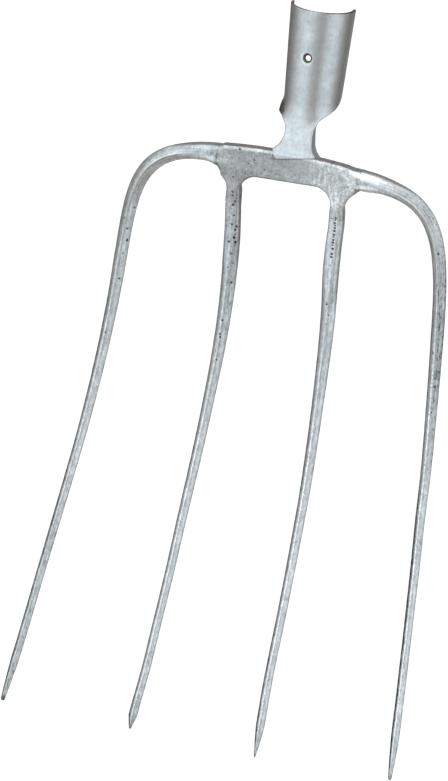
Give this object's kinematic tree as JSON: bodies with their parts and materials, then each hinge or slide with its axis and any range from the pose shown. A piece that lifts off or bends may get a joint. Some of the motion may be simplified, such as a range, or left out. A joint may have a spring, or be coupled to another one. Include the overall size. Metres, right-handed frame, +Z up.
{
  "type": "hay fork head",
  "caption": "Forged hay fork head with long curved tines on a cross bar, and an open-backed rolled socket for a wooden handle.",
  "frame": {"origin": "centre of the socket's mouth, on the axis of the wooden handle", "axes": "+Z up the handle away from the tines, -Y the face turned to the user, +X to the right of that face; the tines hang down along -Z"},
  "size_m": [0.2568, 0.0783, 0.4554],
  "materials": {
    "socket_steel": "smooth rolled sheet, satin, lightly rubbed",
    "forged_steel": "forged and ground, mottled satin with bright bevels",
    "weld_metal": "dressed flush, bright grinding marks",
    "tine_steel": "forged and rubbed bright along the ridge, fine pits"
  },
  "bodies": {
    "root": {"socket": "socket_steel", "weld_neck": "weld_metal", "bridge": "forged_steel", "weld_shoulder_left": "weld_metal", "weld_shoulder_right": "weld_metal", "weld_root_left": "weld_metal", "weld_root_right": "weld_metal", "tine_outer_left": "tine_steel", "tine_inner_left": "tine_steel", "tine_inner_right": "tine_steel", "tine_outer_right": "tine_steel"}
  },
  "joints": []
}
